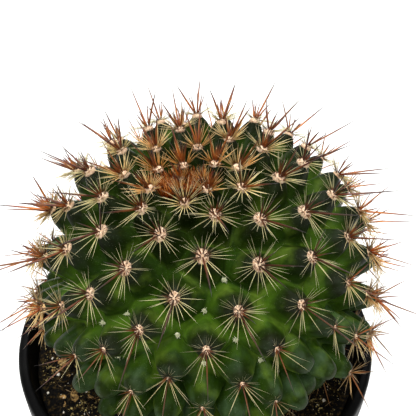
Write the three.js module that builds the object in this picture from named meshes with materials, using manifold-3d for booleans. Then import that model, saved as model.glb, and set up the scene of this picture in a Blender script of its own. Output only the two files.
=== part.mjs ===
// A potted mammillaria: one round, spiny cactus in a black plastic nursery pot.
// Millimetres, +Z up. The origin is the middle of the pot's base and -Y is the front.
import * as THREE from "three";
import { ConvexHull } from "three/addons/math/ConvexHull.js";
import { mergeVertices } from "three/addons/utils/BufferGeometryUtils.js";
import Module from "manifold-3d";

const wasm = await Module();
wasm.setup();

// Driving dimensions of the pot
const POT_HEIGHT = 93;
const RIM_RADIUS = 52.5;
const LIP_WIDTH = 3.1;
const SKIRT_HEIGHT = 8;
const SKIRT_WALL = 1.1;
const BASE_RADIUS = 37;
const POT_WALL = 1.1;
const FLOOR_THICKNESS = 1.6;
const DRAIN_HOLES = 8;
const DRAIN_RADIUS = 3.2;
const DRAIN_RING = 26;
const POT_SIDES = 60;

// Driving dimensions of the soil
const SOIL_LEVEL = 85;
const SOIL_CRUMB = 0.9;
const SOIL_SIDES = 72;
const FIT_GAP = 0.3;

// Driving dimensions of the plant's body: the shape that its spine cushions lie on
const BODY_CENTRE = new THREE.Vector3(3.5, -0.2, POT_HEIGHT + 17.6);
const BODY_LEAN = -0.113;
const BODY_RADIUS = 47;
const BODY_HALF_HEIGHT = 47.4;
const BODY_SQUARENESS = 0.044;
const CROWN_DIMPLE_DEPTH = 8;
const CROWN_DIMPLE_WIDTH = 0.348;
const WAIST_TOP = POT_HEIGHT + 14;
const WAIST_FALL = 24;
const WAIST_NARROWING = 0.24;
const UNDERSIDE_LEVEL = SOIL_LEVEL + 1.7;
const NECK_RADIUS = 25;
const NECK_DEPTH = 13;
const NECK_SIDES = 36;

// Driving dimensions of the spiral of tubercles
const TURN = THREE.MathUtils.degToRad(137.55);
const TURN_START = 5.805;
const SPIRAL_FIRST = -1;
const SPIRAL_LAST = 206;
const SPIRAL_OFFSET = 2.047;
const SPIRAL_SPREAD = 0.0393;
const SPIRAL_POWER = 0.789;
const SPIRAL_CROWDING = 0.109;
const SPIRAL_STEADY_FROM = 140;
const TUBERCLE_HEIGHT = 8;
const SHRINKS_FROM = 136;
const SHRUNK_BY = 170;
const STUNTED_TUBERCLES = [130, 143, 149, 151, 157];
const BARE_TUBERCLES = [94, 96, 104, 109, 115, 117, 128, 130, 138, 143, 149, 151, 157, 164];
const CUSHION_RADIUS = 1.05;
const CUSHION_SIDES = 7;
const CUSHION_TOP_SIDES = 4;

// Driving dimensions of the spines
const RADIAL_LENGTH = 5.6;
const RADIAL_LIFT = 20;
const CENTRAL_LENGTH = 8;
const LONG_CENTRAL_LENGTH = 14;
const SPINE_CLEARANCE = 0.5;
const OLD_TUBERCLES_FROM = 150;

const smooth = (low, high, value) => THREE.MathUtils.smoothstep(value, low, high);
const mix = THREE.MathUtils.lerp;

// Seeded random numbers, so that every run grows the same plant
function randomSource(seed) {
  let state = seed >>> 0;
  return () => {
    state = (state + 0x6d2b79f5) >>> 0;
    let t = Math.imul(state ^ (state >>> 15), 1 | state);
    t = (t + Math.imul(t ^ (t >>> 7), 61 | t)) ^ t;
    return ((t ^ (t >>> 14)) >>> 0) / 4294967296;
  };
}

// Polar angle from the crown, and angle round the axis, of tubercle number n
function crownAngle(n) {
  const m = n + SPIRAL_OFFSET;
  return SPIRAL_SPREAD * m ** SPIRAL_POWER * (1 + SPIRAL_CROWDING * (1 - m / 60));
}

function tubercleDirection(n) {
  const steady = Math.max(0, n - SPIRAL_STEADY_FROM);
  const pace = crownAngle(SPIRAL_STEADY_FROM) - crownAngle(SPIRAL_STEADY_FROM - 1);
  const polar = crownAngle(Math.min(n, SPIRAL_STEADY_FROM)) + steady * pace;
  const round = TURN * n + TURN_START;
  return new THREE.Vector3(
    Math.sin(polar) * Math.cos(round),
    Math.sin(polar) * Math.sin(round),
    Math.cos(polar),
  );
}

// The furrows between tubercles are shallow at the crown and deep below it
function furrowDepth(direction) {
  const polar = Math.acos(THREE.MathUtils.clamp(direction.z, -1, 1));
  return TUBERCLE_HEIGHT * mix(0.5, 1, smooth(0, 0.6, polar));
}

// The oldest tubercles, near the foot, have shrunk back towards the furrows
function tipSunkBy(number) {
  const shrunk = STUNTED_TUBERCLES.includes(number) ? 1 : smooth(SHRINKS_FROM, SHRUNK_BY, number);
  return TUBERCLE_HEIGHT * 0.62 * shrunk;
}

// The leaning, slightly square ball with a sunken crown, seen from its own centre
function bodySurface(direction, sunkBy) {
  const polar = Math.acos(THREE.MathUtils.clamp(direction.z, -1, 1));
  const swell = 1 + BODY_SQUARENESS * Math.sin(2 * polar) ** 2;
  const dimple = CROWN_DIMPLE_DEPTH * Math.exp(-((polar / CROWN_DIMPLE_WIDTH) ** 2));
  return new THREE.Vector3(
    (BODY_RADIUS * swell - sunkBy) * direction.x,
    (BODY_RADIUS * swell - sunkBy) * direction.y,
    (BODY_HALF_HEIGHT * swell - sunkBy) * direction.z - dimple,
  );
}

// Leans the body, puts it over the pot, narrows its foot and rests it just above the soil
function plantInPot(point) {
  const p = point.clone().applyAxisAngle(new THREE.Vector3(0, 1, 0), BODY_LEAN).add(BODY_CENTRE);
  const low = smooth(0, 1, (WAIST_TOP - p.z) / WAIST_FALL);
  const narrow = 1 - WAIST_NARROWING * low;
  p.x = BODY_CENTRE.x + (p.x - BODY_CENTRE.x) * narrow;
  p.y = BODY_CENTRE.y + (p.y - BODY_CENTRE.y) * narrow;
  const above = (p.z - UNDERSIDE_LEVEL) / 2;
  p.z = UNDERSIDE_LEVEL + 2 * Math.log1p(Math.exp(Math.min(above, 30))) + Math.max(0, (above - 30) * 2);
  return p;
}

// A grown mesh: points that are shared by their place in the list, and triangles
class GrownMesh {
  constructor() {
    this.points = [];
    this.faces = [];
  }

  point(p) {
    this.points.push(p);
    return this.points.length - 1;
  }

  face(a, b, c) {
    this.faces.push([a, b, c]);
  }

  // Joins an outer and an inner ring that run the same way round, point by point
  belt(outer, inner, angleOf) {
    const turnOf = (ring, k) => {
      const laps = Math.floor(k / ring.length);
      return angleOf(ring[k % ring.length]) + laps * 2 * Math.PI;
    };
    let o = 0;
    let i = 0;
    while (o < outer.length || i < inner.length) {
      const outerNext = turnOf(outer, o + 1);
      const innerNext = turnOf(inner, i + 1);
      const takeOuter = i >= inner.length || (o < outer.length && outerNext <= innerNext);
      if (takeOuter) {
        this.face(outer[o % outer.length], outer[(o + 1) % outer.length], inner[i % inner.length]);
        o += 1;
      } else {
        this.face(outer[o % outer.length], inner[(i + 1) % inner.length], inner[i % inner.length]);
        i += 1;
      }
    }
  }

  geometry() {
    const g = new THREE.BufferGeometry();
    g.setAttribute("position", new THREE.Float32BufferAttribute(this.points.flatMap((p) => p.toArray()), 3));
    g.setIndex(this.faces.flat());
    return g;
  }
}

// The nearest distance between two straight spines
function spineDistance(a, b) {
  const u = a.tip.clone().sub(a.root);
  const v = b.tip.clone().sub(b.root);
  const w = a.root.clone().sub(b.root);
  const uu = u.dot(u);
  const uv = u.dot(v);
  const vv = v.dot(v);
  const uw = u.dot(w);
  const vw = v.dot(w);
  const spread = uu * vv - uv * uv;
  let s = spread > 1e-9 ? THREE.MathUtils.clamp((uv * vw - vv * uw) / spread, 0, 1) : 0;
  const t = THREE.MathUtils.clamp((uv * s + vw) / vv, 0, 1);
  s = THREE.MathUtils.clamp((uv * t - uw) / uu, 0, 1);
  return w.addScaledVector(u, s).addScaledVector(v, -t).length();
}

// Whether a spine keeps off the pot's wall and rim and off the soil
function clearOfPot(spine) {
  for (let k = 0; k <= 12; k += 1) {
    const p = spine.root.clone().lerp(spine.tip, k / 12);
    const r = Math.hypot(p.x, p.y);
    if (p.z < SOIL_LEVEL + 2) return false;
    if (p.z < POT_HEIGHT + 0.7 && r > innerWallRadius(p.z) - 0.7 && r < RIM_RADIUS + 0.7) return false;
  }
  return true;
}

// The places of all tubercles, then flat places that close the underside
function growthPoints() {
  const places = [];
  for (let n = SPIRAL_FIRST; n <= SPIRAL_LAST; n += 1) {
    places.push({ number: n, direction: tubercleDirection(n) });
  }
  for (const [polar, count] of [[2.22, 15], [2.5, 9], [Math.PI, 1]]) {
    for (let k = 0; k < count; k += 1) {
      const direction = new THREE.Vector3().setFromSphericalCoords(1, polar, (2 * Math.PI * k) / count);
      direction.set(direction.z, direction.x, direction.y);
      places.push({ number: null, direction });
    }
  }
  return places;
}

// The corners of each place's cell: where three neighbouring places are equally far away
function cellCorners(places) {
  const hull = new ConvexHull().setFromPoints(places.map((p) => p.direction));
  const indexOf = new Map(places.map((p, k) => [p.direction, k]));
  const corners = hull.faces.map((f) => f.normal.clone().normalize());
  const cells = places.map(() => []);
  hull.faces.forEach((f, k) => {
    let edge = f.edge;
    do {
      cells[indexOf.get(edge.head().point)].push(k);
      edge = edge.next;
    } while (edge !== f.edge);
  });
  return { corners, cells };
}

// A right-handed frame at a tubercle's tip: its axis, down towards the foot, and sideways
function tipFrame(foot, tip, below) {
  const axis = tip.clone().sub(foot).normalize();
  const down = below.clone().sub(tip);
  down.addScaledVector(axis, -down.dot(axis)).normalize();
  const side = axis.clone().cross(down);
  return { axis, down, side };
}

function growPlant() {
  const random = randomSource(1303);
  const mesh = new GrownMesh();
  const spines = [];
  const places = growthPoints();
  const { corners, cells } = cellCorners(places);
  const sunkPoint = (d) => plantInPot(bodySurface(d, furrowDepth(d)));
  const cornerPoints = corners.map((d) => mesh.point(sunkPoint(d)));

  // Turns a spine a little, then shortens it, until it clears the spines that already stand
  function freeSpine(root, wanted, length, frame) {
    let spine = null;
    for (let attempt = 0; attempt < 26; attempt += 1) {
      const swing = attempt * 0.035;
      const direction = wanted.clone();
      direction.addScaledVector(frame.side, (random() - 0.5) * swing * 2);
      direction.addScaledVector(frame.axis, random() * swing);
      direction.normalize();
      const tip = root.clone().addScaledVector(direction, length * (1 - 0.03 * attempt));
      spine = { root, tip, frame };
      const near = spines.filter((s) => s.middle.distanceTo(root) < length + 12);
      const free = near.every((s) => s.frame === frame || spineDistance(s, spine) > SPINE_CLEARANCE);
      if (free && clearOfPot(spine)) break;
    }
    spine.middle = spine.root.clone().lerp(spine.tip, 0.5);
    spines.push(spine);
    return spine.tip;
  }

  // Draws a face out to a point: the face is the spine's root
  function spineOnFace(a, b, c, wanted, length, frame) {
    const root = mesh.points[a].clone().add(mesh.points[b]).add(mesh.points[c]).divideScalar(3);
    const tip = mesh.point(freeSpine(root, wanted, length, frame));
    mesh.face(a, b, tip);
    mesh.face(b, c, tip);
    mesh.face(c, a, tip);
  }

  places.forEach(({ number, direction }, k) => {
    const foot = sunkPoint(direction);
    const tip = plantInPot(bodySurface(direction, number === null ? 0 : tipSunkBy(number)));
    const polarAxis = Math.abs(direction.z) > 0.999 ? new THREE.Vector3(1, 0, 0) : new THREE.Vector3(0, 0, 1);
    const east = polarAxis.clone().cross(direction).normalize();
    const south = east.clone().cross(direction).normalize();
    const turn = (d) => Math.atan2(d.dot(east), d.dot(south));
    const loop = cells[k].slice().sort((a, b) => turn(corners[a]) - turn(corners[b]));
    const ring = loop.map((c) => cornerPoints[c]);

    // The underside's places stay flat
    if (number === null) {
      const middle = mesh.point(foot);
      ring.forEach((c, j) => mesh.face(c, ring[(j + 1) % ring.length], middle));
      return;
    }

    const below = plantInPot(bodySurface(direction.clone().addScaledVector(south, 0.2).normalize(), 0));
    const frame = tipFrame(foot, tip, below);
    const angleAt = new Map();
    loop.forEach((c, j) => angleAt.set(ring[j], turn(corners[c])));
    const circle = (count, radius, raise, shift) => {
      const made = [];
      for (let j = 0; j < count; j += 1) {
        const angle = -Math.PI + (2 * Math.PI * (j + shift)) / count;
        const p = tip.clone().addScaledVector(frame.axis, raise);
        p.addScaledVector(frame.down, radius * Math.cos(angle));
        p.addScaledVector(frame.side, radius * Math.sin(angle));
        const id = mesh.point(p);
        angleAt.set(id, angle);
        made.push(id);
      }
      return made;
    };
    const angleOf = (id) => angleAt.get(id);
    const old = number >= OLD_TUBERCLES_FROM;
    const bare = BARE_TUBERCLES.includes(number) || (old && number % 2 === 0);

    // The tubercle's flank, from the furrows round it up to its spine cushion
    const cushion = circle(CUSHION_SIDES, CUSHION_RADIUS, -0.4, 0.5);
    if (old) {
      mesh.belt(ring, cushion, angleOf);
    } else {
      const shoulder = loop.map((c, j) => {
        const d = direction.clone().lerp(corners[c], 0.6).normalize();
        const p = sunkPoint(d).addScaledVector(tip.clone().sub(foot), 1 - 0.6 ** 2);
        const id = mesh.point(p);
        angleAt.set(id, angleOf(ring[j]));
        return id;
      });
      mesh.belt(ring, shoulder, angleOf);
      mesh.belt(shoulder, cushion, angleOf);
    }

    // The woolly cushion, with radial spines on its edge and central spines on its top
    const top = circle(CUSHION_TOP_SIDES, 0.6 * CUSHION_RADIUS, 0.35, 0.5);
    const first = mesh.faces.length;
    mesh.belt(cushion, top, angleOf);
    const edgeFaces = mesh.faces.splice(first);
    const youth = 1 - smooth(4, 22, number);
    edgeFaces.forEach(([a, b, c]) => {
      const onRim = Number(cushion.includes(a)) + Number(cushion.includes(b)) + Number(cushion.includes(c));
      if (onRim < 2 || bare || (old && random() < 0.5)) {
        mesh.face(a, b, c);
        return;
      }
      const middle = mesh.points[a].clone().add(mesh.points[b]).add(mesh.points[c]).divideScalar(3);
      const flat = middle.sub(tip);
      flat.addScaledVector(frame.axis, -flat.dot(frame.axis)).normalize();
      const lift = THREE.MathUtils.degToRad(mix(RADIAL_LIFT, 58, youth) + 8 * (random() - 0.5));
      const wanted = flat.clone().multiplyScalar(Math.cos(lift)).addScaledVector(frame.axis, Math.sin(lift));
      const length = RADIAL_LENGTH * (1 + 0.2 * flat.dot(frame.down)) * mix(0.9, 1.1, random());
      spineOnFace(a, b, c, wanted, length, frame);
    });
    const peak = mesh.point(tip.clone().addScaledVector(frame.axis, 0.55));
    top.forEach((a, j) => {
      const b = top[(j + 1) % top.length];
      const middle = mesh.points[a].clone().add(mesh.points[b]).multiplyScalar(0.5);
      const flat = middle.sub(tip);
      flat.addScaledVector(frame.axis, -flat.dot(frame.axis)).normalize();
      const long = flat.dot(frame.down) > 0.6;
      if (bare || (old && !long)) {
        mesh.face(a, b, peak);
        return;
      }
      const lift = THREE.MathUtils.degToRad(mix(long ? 54 : 64, 74, youth) + 12 * (random() - 0.5));
      const wanted = flat.clone().multiplyScalar(Math.cos(lift)).addScaledVector(frame.axis, Math.sin(lift));
      const reach = long ? mix(LONG_CENTRAL_LENGTH, 9, youth) : CENTRAL_LENGTH;
      spineOnFace(a, b, peak, wanted, reach * mix(0.85, 1.15, random()), frame);
    });
  });
  return mesh.geometry();
}

// A solid for cutting and joining, from a closed geometry
function solidFrom(geometry) {
  const bare = new THREE.BufferGeometry();
  bare.setAttribute("position", geometry.getAttribute("position"));
  if (geometry.index) bare.setIndex(geometry.index);
  const merged = mergeVertices(bare, 1e-4);
  const kept = [];
  for (let k = 0; k < merged.index.count; k += 3) {
    const [a, b, c] = [0, 1, 2].map((j) => merged.index.getX(k + j));
    if (a !== b && b !== c && c !== a) kept.push(a, b, c);
  }
  return new wasm.Manifold(
    new wasm.Mesh({
      numProp: 3,
      vertProperties: new Float32Array(merged.getAttribute("position").array),
      triVerts: new Uint32Array(kept),
    }),
  );
}

function geometryFrom(solid) {
  const { numProp, vertProperties, triVerts } = solid.getMesh();
  const positions = new Float32Array((vertProperties.length / numProp) * 3);
  for (let k = 0; k < positions.length / 3; k += 1) {
    positions.set(vertProperties.subarray(k * numProp, k * numProp + 3), k * 3);
  }
  const g = new THREE.BufferGeometry();
  g.setAttribute("position", new THREE.BufferAttribute(positions, 3));
  g.setIndex(new THREE.BufferAttribute(new Uint32Array(triVerts), 1));
  return g;
}

// A turned shape about the Z axis, from its outline as pairs of radius and height
function turned(outline, sides) {
  const points = outline.map(([r, z]) => new THREE.Vector2(r, z));
  return new THREE.LatheGeometry(points, sides).rotateX(Math.PI / 2);
}

const outerWallRadius = (z) => mix(BASE_RADIUS, RIM_RADIUS - 1.9, z / POT_HEIGHT);
const innerWallRadius = (z) => outerWallRadius(z) - POT_WALL;

// The pot: a thin tapering wall, a turned-over rim with a short skirt, and a holed floor
function makePot() {
  const skirtFoot = POT_HEIGHT - SKIRT_HEIGHT;
  const lipInside = RIM_RADIUS - LIP_WIDTH;
  const outline = [
    [0, 0],
    [BASE_RADIUS - 1.2, 0],
    [outerWallRadius(1.2), 1.2],
    [outerWallRadius(skirtFoot), skirtFoot],
    [outerWallRadius(POT_HEIGHT - 2.4), POT_HEIGHT - 2.4],
    [RIM_RADIUS - SKIRT_WALL, POT_HEIGHT - 2.2],
    [RIM_RADIUS - SKIRT_WALL - 0.2, skirtFoot],
    [RIM_RADIUS - 0.2, skirtFoot],
    [RIM_RADIUS, POT_HEIGHT - 1.3],
    [RIM_RADIUS - 0.4, POT_HEIGHT - 0.4],
    [RIM_RADIUS - 1.2, POT_HEIGHT],
    [lipInside + 0.9, POT_HEIGHT],
    [lipInside + 0.25, POT_HEIGHT - 0.5],
    [lipInside, POT_HEIGHT - 1.4],
    [innerWallRadius(POT_HEIGHT - 6), POT_HEIGHT - 6],
    [innerWallRadius(FLOOR_THICKNESS + 1), FLOOR_THICKNESS + 1],
    [innerWallRadius(FLOOR_THICKNESS + 1) - 1, FLOOR_THICKNESS],
    [0, FLOOR_THICKNESS],
  ];
  let pot = solidFrom(turned(outline, POT_SIDES));
  for (let k = 0; k < DRAIN_HOLES; k += 1) {
    const angle = (2 * Math.PI * (k + 0.5)) / DRAIN_HOLES;
    const hole = new THREE.CylinderGeometry(DRAIN_RADIUS, DRAIN_RADIUS, 6, 12).rotateX(Math.PI / 2);
    hole.translate(DRAIN_RING * Math.cos(angle), DRAIN_RING * Math.sin(angle), 0.8);
    pot = pot.subtract(solidFrom(hole));
  }
  return geometryFrom(pot);
}

// The soil: fills the pot, crumbly on top, with a plain round hole for the plant's neck
function makeSoil() {
  const random = randomSource(77);
  const holeRadius = NECK_RADIUS + FIT_GAP + 0.15;
  const holeFloor = SOIL_LEVEL - NECK_DEPTH - 1;
  const edge = innerWallRadius(SOIL_LEVEL) - FIT_GAP - 0.1;
  const bottom = FLOOR_THICKNESS + FIT_GAP;
  const rings = 8;
  const outline = [
    [0, bottom],
    [innerWallRadius(bottom) - 1.5, bottom],
    [innerWallRadius(bottom + 2) - FIT_GAP - 0.1, bottom + 2],
  ];
  for (let k = 0; k <= rings; k += 1) outline.push([mix(edge, holeRadius, k / rings), SOIL_LEVEL]);
  outline.push([holeRadius, holeFloor], [0, holeFloor]);
  const soil = mergeVertices(bareCopy(turned(outline, SOIL_SIDES)), 1e-4);
  const position = soil.getAttribute("position");
  for (let k = 0; k < position.count; k += 1) {
    const x = position.getX(k);
    const y = position.getY(k);
    const r = Math.hypot(x, y);
    if (position.getZ(k) < SOIL_LEVEL - 0.5 || r < holeRadius + 0.5) continue;
    const heap = 0.6 * Math.sin(x / 9 + 1) * Math.cos(y / 7 - 0.5);
    const crumb = random() < 0.12 ? 1.6 : 1;
    const free = smooth(holeRadius, holeRadius + 8, r);
    position.setZ(k, SOIL_LEVEL + free * (heap + crumb * SOIL_CRUMB * (random() - 0.5)));
  }
  return geometryFrom(solidFrom(soil));
}

function bareCopy(geometry) {
  const bare = new THREE.BufferGeometry();
  bare.setAttribute("position", geometry.getAttribute("position"));
  bare.setIndex(geometry.index);
  return bare;
}

// The plant: the grown body, joined to the plain neck that goes down into the soil
function makePlant() {
  const neck = new THREE.CylinderGeometry(NECK_RADIUS, NECK_RADIUS - 1.5, NECK_DEPTH + 4, NECK_SIDES);
  neck.rotateX(Math.PI / 2).translate(0, 0, SOIL_LEVEL - NECK_DEPTH + (NECK_DEPTH + 4) / 2);
  return geometryFrom(solidFrom(growPlant()).add(solidFrom(neck)));
}

function part(name, geometry, colour, roughness) {
  geometry.computeVertexNormals();
  const material = new THREE.MeshStandardMaterial({ color: colour, roughness, metalness: 0, flatShading: true });
  const mesh = new THREE.Mesh(geometry, material);
  mesh.name = name;
  return mesh;
}

const pottedMammillaria = new THREE.Group();
pottedMammillaria.add(
  part("pot", makePot(), 0x1b1c1d, 0.45),
  part("soil", makeSoil(), 0x2a2018, 0.95),
  part("plant", makePlant(), 0x3f5a2c, 0.6),
);

export default pottedMammillaria;
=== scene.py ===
# %% [markdown]
# # A potted mammillaria, piece by piece
#
# A round, spiny cactus about 120 mm across its spines stands in a black nursery pot of
# 105 mm. Its skin rises in tubercles that follow one long spiral. Each tubercle carries a
# woolly cushion, the areole, with a ring of pale radial spines and a few dark central ones.
#
# The lesson builds the pot first, then the skin, the cushions, the spines and at last the
# potting mix. The solids from the CAD model say where everything is, so the frame comes
# first. All places are worked out in millimetres and turned to metres in the mesh.

# %% Load the frame
import math
from functools import partial

import bmesh
import bpy
import numpy as np
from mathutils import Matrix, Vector


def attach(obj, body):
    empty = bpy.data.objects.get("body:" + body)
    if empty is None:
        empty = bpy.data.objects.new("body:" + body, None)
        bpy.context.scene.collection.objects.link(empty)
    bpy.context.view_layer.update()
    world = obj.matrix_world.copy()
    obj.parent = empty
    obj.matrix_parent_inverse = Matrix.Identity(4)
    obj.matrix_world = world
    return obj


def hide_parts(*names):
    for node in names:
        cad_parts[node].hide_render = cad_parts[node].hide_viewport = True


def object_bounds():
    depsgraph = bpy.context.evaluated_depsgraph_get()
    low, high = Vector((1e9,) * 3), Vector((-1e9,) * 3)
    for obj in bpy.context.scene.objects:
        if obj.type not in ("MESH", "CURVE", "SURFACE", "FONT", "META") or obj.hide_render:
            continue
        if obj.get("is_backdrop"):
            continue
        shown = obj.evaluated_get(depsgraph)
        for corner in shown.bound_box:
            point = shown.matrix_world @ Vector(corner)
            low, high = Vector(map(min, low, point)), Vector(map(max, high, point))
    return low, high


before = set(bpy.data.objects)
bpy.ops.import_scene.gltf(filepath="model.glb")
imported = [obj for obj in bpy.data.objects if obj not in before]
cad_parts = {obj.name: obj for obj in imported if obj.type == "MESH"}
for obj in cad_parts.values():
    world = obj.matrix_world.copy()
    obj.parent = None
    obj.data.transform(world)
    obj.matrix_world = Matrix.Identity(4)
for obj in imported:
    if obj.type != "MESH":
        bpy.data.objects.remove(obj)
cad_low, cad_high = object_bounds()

MM = 0.001
print("solids:", sorted(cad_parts))
print("box in mm:", [round(v / MM, 1) for v in (*cad_low, *cad_high)])

# %% [markdown]
# ## Three small tools
#
# Colours are noted as the hex values one would pick from a picture, and Blender wants them
# linear, so one function turns them round. Every node in this file is added by one function
# that takes its settings and its inputs together. Blender puts the name of a family before
# the name of a kind, as in ShaderNodeMath, and the function finds the family. An input is a
# plain value, or the output of another node, and then the two are linked. A whole node as
# an input stands for its first working output. Each tree gets its own add: the same
# function with the tree filled in.

# %% Colours and nodes
def linear(hex_colour):
    """An sRGB hex colour as linear red, green, blue and alpha."""
    parts = [int(hex_colour[k:k + 2], 16) / 255 for k in (1, 3, 5)]
    return (*[p / 12.92 if p <= 0.04045 else ((p + 0.055) / 1.055) ** 2.4 for p in parts], 1.0)


FAMILIES = ("ShaderNode", "GeometryNode", "FunctionNode", "Node")


def connect(node, inputs):
    """Sets a node's inputs, given by name or number, or as a tuple in their own order."""
    for key, value in inputs.items() if isinstance(inputs, dict) else enumerate(inputs):
        if isinstance(value, bpy.types.Node):
            value = next(output for output in value.outputs if output.enabled)
        if isinstance(value, bpy.types.NodeSocket):
            node.id_data.links.new(value, node.inputs[key])
        else:
            node.inputs[key].default_value = value


def add_node(tree, kind, inputs=(), **settings):
    """One node of a kind, such as Math or SetPosition, with its settings and inputs."""
    node = tree.nodes.new(next(f + kind for f in FAMILIES if hasattr(bpy.types, f + kind)))
    for name, value in settings.items():
        setattr(node, name, value)
    connect(node, inputs)
    return node


# %% [markdown]
# ## Geometry Nodes from a script
#
# A tree gets one geometry socket and named sizes. Blender stores a modifier's sizes under
# the socket's identifier and not under its name, so the sizes are looked up in the tree's
# interface. The finished geometry is copied out as a plain mesh, because a file that leaves
# Blender keeps no modifier and no instances.

# %% A tree with named sizes, and how it is run
def new_tree(name, sizes):
    tree = bpy.data.node_groups.new(name, "GeometryNodeTree")
    tree.interface.new_socket("Geometry", in_out="INPUT", socket_type="NodeSocketGeometry")
    for size, start in sizes.items():
        kind = "NodeSocketInt" if isinstance(start, int) else "NodeSocketFloat"
        tree.interface.new_socket(size, in_out="INPUT", socket_type=kind).default_value = start
    tree.interface.new_socket("Geometry", in_out="OUTPUT", socket_type="NodeSocketGeometry")
    add = partial(add_node, tree)
    return tree, add, add("GroupInput").outputs


def placed(name, data):
    """A new object in the scene."""
    obj = bpy.data.objects.new(name, data)
    bpy.context.scene.collection.objects.link(obj)
    return obj


def end_tree(add, geometry, material):
    """Every tree ends alike: instances made real, the finish set, and out."""
    real = add("RealizeInstances", {"Geometry": geometry})
    done = add("SetMaterial", {"Geometry": real, "Material": material})
    add("GroupOutput", {0: done})


def grow(source, tree, name, **sizes):
    """Runs a tree on a mesh and returns the result as a piece with a plain mesh."""
    obj = placed(name, source)
    modifier = obj.modifiers.new(name, "NODES")
    modifier.node_group = tree
    sockets = {s.name: s.identifier for s in tree.interface.items_tree if s.in_out == "INPUT"}
    for size, value in sizes.items():
        modifier[sockets[size.replace("_", " ")]] = value
    shown = obj.evaluated_get(bpy.context.evaluated_depsgraph_get())
    mesh = bpy.data.meshes.new_from_object(shown)
    obj.modifiers.clear()
    obj.data = mesh
    mesh.name = name
    print(f"{name}: {sum(len(p.vertices) - 2 for p in mesh.polygons)} triangles")
    return obj


# %% [markdown]
# ## Meshes from lists of places
#
# A pot and its soil are turned shapes: an outline of radius and height, carried once round
# the upright axis. A point on the axis becomes one single point, so the poles are closed.

# %% A mesh from places in millimetres, and a turned one
def mesh_from(name, places, faces=(), **attributes):
    """A mesh from places in millimetres, with a number or a vector on each point."""
    mesh = bpy.data.meshes.new(name)
    corners = [tuple(p) for p in np.asarray(places) * MM]
    mesh.from_pydata(corners, [], [tuple(map(int, f)) for f in faces])
    for key, values in attributes.items():
        values = np.asarray(values, dtype=np.float32)
        kind, field = ("FLOAT_VECTOR", "vector") if values.ndim == 2 else ("FLOAT", "value")
        mesh.attributes.new(key, kind, "POINT").data.foreach_set(field, values.ravel())
    return mesh


def turned(name, outline, sides):
    """An outline of radius and height, in millimetres, carried once round the upright axis."""
    angles = np.arange(sides) * 2 * math.pi / sides
    places, rings = [], []
    for radius, height in outline:
        if radius == 0:
            rings.append([len(places)] * sides)
            places.append((0, 0, height))
            continue
        rings.append(list(range(len(places), len(places) + sides)))
        places += [(radius * math.cos(a), radius * math.sin(a), height) for a in angles]
    faces = []
    for low, high in zip(rings, rings[1:]):
        for k in range(sides):
            corners = [low[k], low[(k + 1) % sides], high[(k + 1) % sides], high[k]]
            faces.append(list(dict.fromkeys(corners)))
    return mesh_from(name, places, faces)


# %% [markdown]
# ## Camera, floor and light
#
# The camera looks down at 39 degrees from 190 mm away, as a hand-held camera above a
# table would. The floor is a plain white sheet. Three big soft lamps and a bright, even sky
# give the soft light of a light tent. The key lamp is the strongest, so that the forms still
# read, and the back lamp shines through the thin spines along the outline.

# %% Camera
LOOKING_DOWN = 0.679
camera = placed("camera", bpy.data.cameras.new("camera"))
camera.location = (0.003717, -0.1368, 0.24839)
camera.rotation_euler = (math.pi / 2 - LOOKING_DOWN, 0, 0)
camera.data.lens = 58.46
camera.data.shift_y = 0.0095
camera.data.clip_start = 0.005
bpy.context.scene.camera = camera

# %% Floor and light
bpy.context.scene.view_settings.view_transform = "Standard"
paper = bpy.data.materials.new("white_paper")
paper.use_nodes = True
paper_shader = paper.node_tree.nodes["Principled BSDF"]
connect(paper_shader, {"Base Color": linear("#f4f4f2"), "Roughness": 0.8})
FLOOR_REACH = 1500
floor_corners = [(x * FLOOR_REACH, y * FLOOR_REACH, 0)
                 for x, y in ((-1, -1), (1, -1), (1, 1), (-1, 1))]
floor = placed("floor", mesh_from("floor", floor_corners, [(0, 1, 2, 3)]))
floor.data.materials.append(paper)
floor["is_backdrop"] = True

world = bpy.data.worlds.new("light_tent")
world.use_nodes = True
connect(world.node_tree.nodes["Background"], {"Color": linear("#ffffff"), "Strength": 0.4})
bpy.context.scene.world = world

for name, place, size, power in (
    ("key_lamp", (-0.3, -0.4, 1.4), 0.9, 26.0),
    ("fill_lamp", (0.8, -0.5, 0.9), 0.6, 5.0),
    ("back_lamp", (0.1, 1.0, 1.1), 0.8, 12.0),
):
    lamp = placed(name, bpy.data.lights.new(name, "AREA"))
    lamp.data.size = size
    lamp.data.energy = power
    lamp.location = place
    towards_plant = Vector((0, 0, 0.1)) - lamp.location
    lamp.rotation_euler = towards_plant.to_track_quat("-Z", "Y").to_euler()
print("camera, floor and three lamps")

# %% [markdown]
# ## The pot's plastic
#
# A nursery pot is injection-moulded from recycled black polypropylene. It is a soft black
# with a dull shine and a very fine grain from the mould. Grain and dust are noise: the
# grain at 0.4 mm as bump, the dust at 12 mm as a faint grey and a change of gloss.

# %% Moulded polypropylene
def new_material(name):
    material = bpy.data.materials.new(name)
    material.use_nodes = True
    add = partial(add_node, material.node_tree)
    shader = material.node_tree.nodes["Principled BSDF"]
    return material, add, shader, add("TexCoord").outputs["Object"]


def finish(add, shader, colour, grain, roughness, bump, others):
    """The end that most finishes share: one noise changes the gloss and raises the bumps.

    Roughness is its lowest and highest value, and bump its strength and its depth in mm."""
    gloss = add("MapRange", {0: grain, 3: roughness[0], 4: roughness[1]})
    raised = add("Bump", {"Height": grain, "Strength": bump[0], "Distance": bump[1] * MM})
    connect(shader, {"Base Color": colour, "Roughness": gloss, "Normal": raised, **others})


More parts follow.
